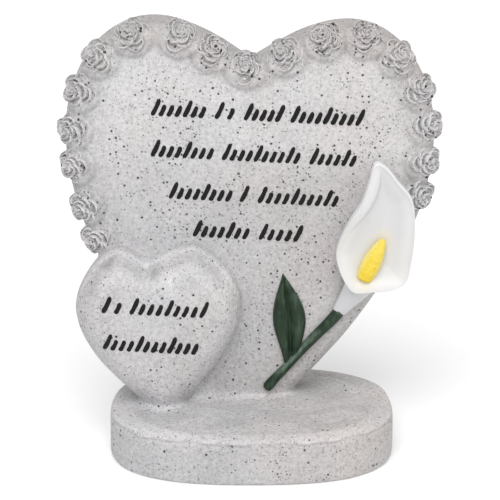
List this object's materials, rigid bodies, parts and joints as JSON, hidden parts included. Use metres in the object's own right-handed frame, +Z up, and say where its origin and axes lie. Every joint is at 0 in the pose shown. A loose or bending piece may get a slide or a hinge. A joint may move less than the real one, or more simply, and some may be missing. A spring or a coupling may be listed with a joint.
{
  "type": "standing memorial heart ornament",
  "caption": "Upright heart on an oval base, edged with small roses, with a smaller puffed heart and a calla lily in relief and rows of raised strokes where an inscription would be",
  "frame": {"origin": "centre of the oval base's flat underside, on the surface it stands on", "axes": "+Z up from the underside to the top of the large heart; -Y out of the front, the way the hearts' faces and the strokes look; +X to the viewer's right, towards the lily"},
  "size_m": [0.1741, 0.097, 0.201],
  "materials": {
    "speckled_stone": "matt cast resin with a pale grey speckled stone effect",
    "petal_white": "satin white paint on cast resin",
    "spike_yellow": "matt yellow paint on cast resin",
    "leaf_green": "satin dark green paint on cast resin",
    "stroke_black": "satin black paint on cast resin"
  },
  "bodies": {
    "root": {"memorial_heart": "speckled_stone"}
  },
  "joints": []
}
